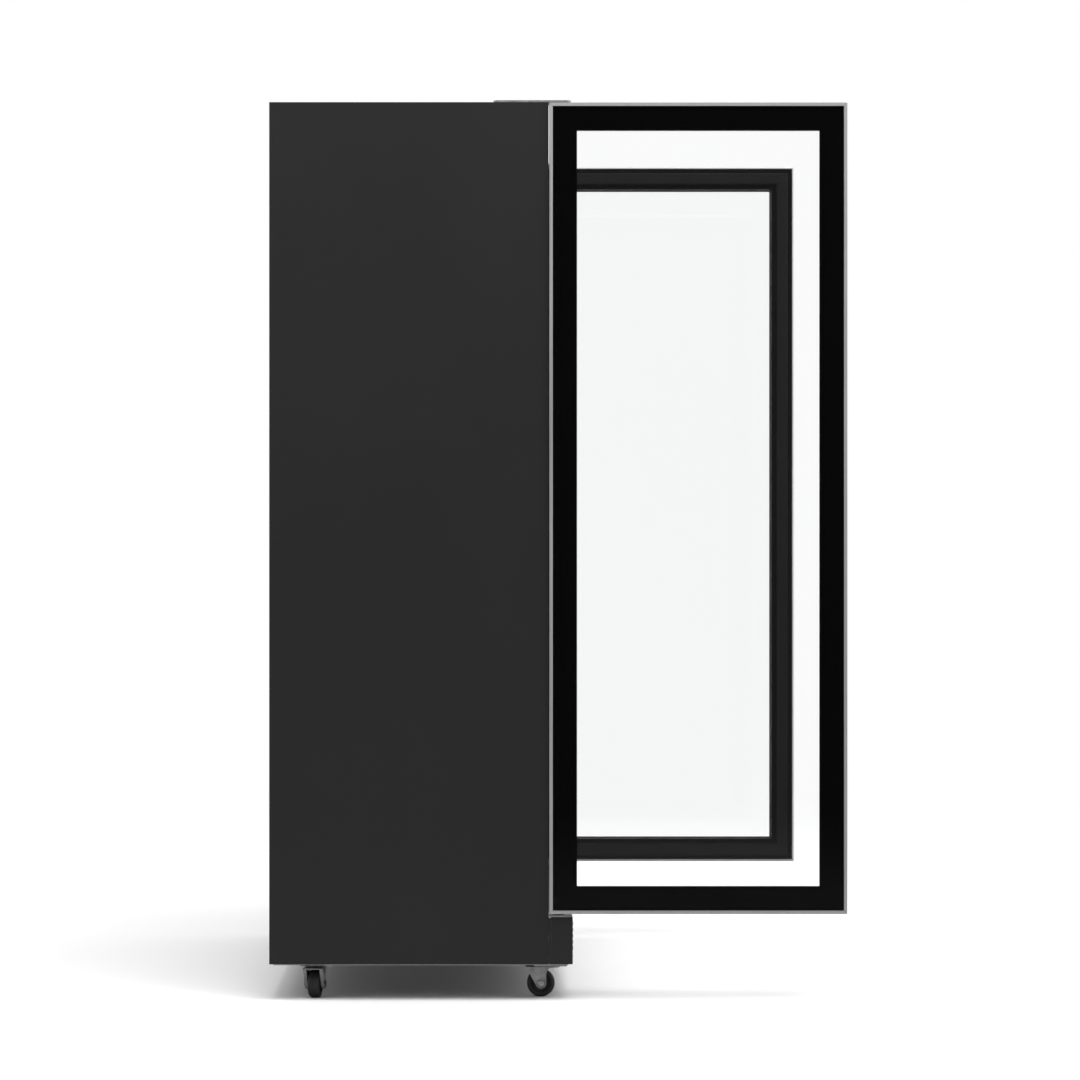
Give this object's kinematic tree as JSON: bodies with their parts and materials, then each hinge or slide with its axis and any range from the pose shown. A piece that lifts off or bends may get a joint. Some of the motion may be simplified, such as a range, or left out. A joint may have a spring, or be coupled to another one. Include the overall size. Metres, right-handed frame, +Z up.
{
  "type": "glass door merchandiser",
  "caption": "Tall refrigerated display cabinet on casters with glass swing doors standing open, wire shelves, a fan-cooled evaporator and a condensing unit in its lower back.",
  "frame": {"origin": "on the floor, at the middle of the outline with both doors standing open", "axes": "+Z up, +Y towards the cabinet's back, the doors face -Y"},
  "size_m": [1.388, 1.3114, 2.0475],
  "materials": {
    "black_paint": "satin",
    "galvanised": "satin",
    "foam": "matte",
    "white_liner": "satin",
    "zinc": "satin",
    "bright_zinc": "satin",
    "compressor_black": "gloss",
    "rubber": "matte",
    "wheel_rubber": "matte",
    "coil_aluminium": "satin",
    "fan_aluminium": "satin",
    "motor_grey": "satin",
    "black_plastic": "satin",
    "white_plastic": "satin",
    "copper": "satin",
    "light_lens": "satin",
    "white_wire": "satin",
    "switch_red": "gloss",
    "silver_aluminium": "satin",
    "clear_glass": "gloss",
    "black_border": "gloss",
    "inner_black": "satin",
    "gasket_rubber": "matte"
  },
  "bodies": {
    "root": {"left_side_panel": "black_paint", "right_side_panel": "black_paint", "back_panel": "galvanised", "top_panel": "black_paint", "foam_insulation": "foam", "inner_liner": "white_liner", "front_frame": "black_paint", "centre_mullion": "black_paint", "base_frame": "galvanised", "kick_grille": "black_paint", "rear_service_grille": "galvanised", "cover_screws": "zinc", "compressor": "compressor_black", "compressor_feet": "rubber", "condenser_coil": "coil_aluminium", "condenser_fan_shroud": "black_paint", "evaporator_coil": "coil_aluminium", "evaporator_cover": "white_liner", "fan_motors": "motor_grey", "drain_pan": "black_plastic", "refrigerant_lines": "copper", "control_box": "white_plastic", "led_light_bars": "light_lens", "shelf_standards": "white_liner", "shelf_clips": "zinc", "wire_shelves": "white_wire", "top_hinges": "zinc", "bottom_hinges": "zinc", "frame_bolts": "zinc", "caster_plates": "zinc", "power_cord_gland": "black_plastic"},
    "left_door": {"left_door_frame": "silver_aluminium", "left_glass_panes": "clear_glass", "left_glass_border": "black_border", "left_inner_frame": "inner_black", "left_door_gasket": "gasket_rubber", "left_door_bushings": "black_plastic"},
    "right_door": {"right_door_frame": "silver_aluminium", "right_glass_panes": "clear_glass", "right_glass_border": "black_border", "right_inner_frame": "inner_black", "right_door_gasket": "gasket_rubber", "right_door_bushings": "black_plastic"},
    "front_left_fork": {"front_left_caster_fork": "zinc", "front_left_caster_axle": "bright_zinc"},
    "front_left_wheel": {"front_left_caster_wheel": "wheel_rubber"},
    "front_right_fork": {"front_right_caster_fork": "zinc", "front_right_caster_axle": "bright_zinc"},
    "front_right_wheel": {"front_right_caster_wheel": "wheel_rubber"},
    "rear_left_fork": {"rear_left_caster_fork": "zinc", "rear_left_caster_axle": "bright_zinc"},
    "rear_left_wheel": {"rear_left_caster_wheel": "wheel_rubber"},
    "rear_right_fork": {"rear_right_caster_fork": "zinc", "rear_right_caster_axle": "bright_zinc"},
    "rear_right_wheel": {"rear_right_caster_wheel": "wheel_rubber"},
    "condenser_fan": {"condenser_fan_blade": "fan_aluminium"},
    "left_evaporator_fan": {"left_evaporator_fan_blade": "black_plastic"},
    "right_evaporator_fan": {"right_evaporator_fan_blade": "black_plastic"},
    "thermostat": {"thermostat_knob": "black_plastic"},
    "light_switch": {"light_switch_rocker": "switch_red"}
  },
  "joints": [
    {"name": "left_door_hinge", "type": "hinge", "parent": "root", "child": "left_door", "pos_m": [-0.663, -0.00225, 1.118], "axis": [0, 0, 1], "range_deg": [0, 90]},
    {"name": "right_door_hinge", "type": "hinge", "parent": "root", "child": "right_door", "pos_m": [0.663, -0.00225, 1.118], "axis": [0, 0, 1], "range_deg": [-90, 0]},
    {"name": "front_left_swivel", "type": "hinge", "parent": "root", "child": "front_left_fork", "pos_m": [-0.599, 0.01575, 0.07], "axis": [0, 0, 1], "continuous": true},
    {"name": "front_left_roll", "type": "hinge", "parent": "front_left_fork", "child": "front_left_wheel", "pos_m": [-0.599, 0.03775, 0.03175], "axis": [1, 0, 0], "continuous": true},
    {"name": "front_right_swivel", "type": "hinge", "parent": "root", "child": "front_right_fork", "pos_m": [0.599, 0.01575, 0.07], "axis": [0, 0, 1], "continuous": true},
    {"name": "front_right_roll", "type": "hinge", "parent": "front_right_fork", "child": "front_right_wheel", "pos_m": [0.599, 0.03775, 0.03175], "axis": [1, 0, 0], "continuous": true},
    {"name": "rear_left_swivel", "type": "hinge", "parent": "root", "child": "rear_left_fork", "pos_m": [-0.599, 0.55075, 0.07], "axis": [0, 0, 1], "continuous": true},
    {"name": "rear_left_roll", "type": "hinge", "parent": "rear_left_fork", "child": "rear_left_wheel", "pos_m": [-0.62079, 0.55381, 0.03175], "axis": [0.1392, 0.9903, 0], "continuous": true},
    {"name": "rear_right_swivel", "type": "hinge", "parent": "root", "child": "rear_right_fork", "pos_m": [0.599, 0.55075, 0.07], "axis": [0, 0, 1], "continuous": true},
    {"name": "rear_right_roll", "type": "hinge", "parent": "rear_right_fork", "child": "rear_right_wheel", "pos_m": [0.62079, 0.55381, 0.03175], "axis": [0.1392, -0.9903, 0], "continuous": true},
    {"name": "left_evaporator_fan_spin", "type": "hinge", "parent": "root", "child": "left_evaporator_fan", "pos_m": [-0.26, 0.29775, 1.9], "axis": [0, -1, 0], "continuous": true},
    {"name": "right_evaporator_fan_spin", "type": "hinge", "parent": "root", "child": "right_evaporator_fan", "pos_m": [0.26, 0.29775, 1.9], "axis": [0, -1, 0], "continuous": true},
    {"name": "condenser_fan_spin", "type": "hinge", "parent": "root", "child": "condenser_fan", "pos_m": [-0.14, 0.52075, 0.235], "axis": [1, 0, 0], "continuous": true},
    {"name": "thermostat_knob_turn", "type": "hinge", "parent": "root", "child": "thermostat", "pos_m": [-0.028, 0.24775, 1.9], "axis": [0, -1, 0], "range_deg": [-270, 0]},
    {"name": "light_switch_rock", "type": "hinge", "parent": "root", "child": "light_switch", "pos_m": [0.028, 0.25075, 1.9], "axis": [1, 0, 0], "range_deg": [0, 16]}
  ]
}
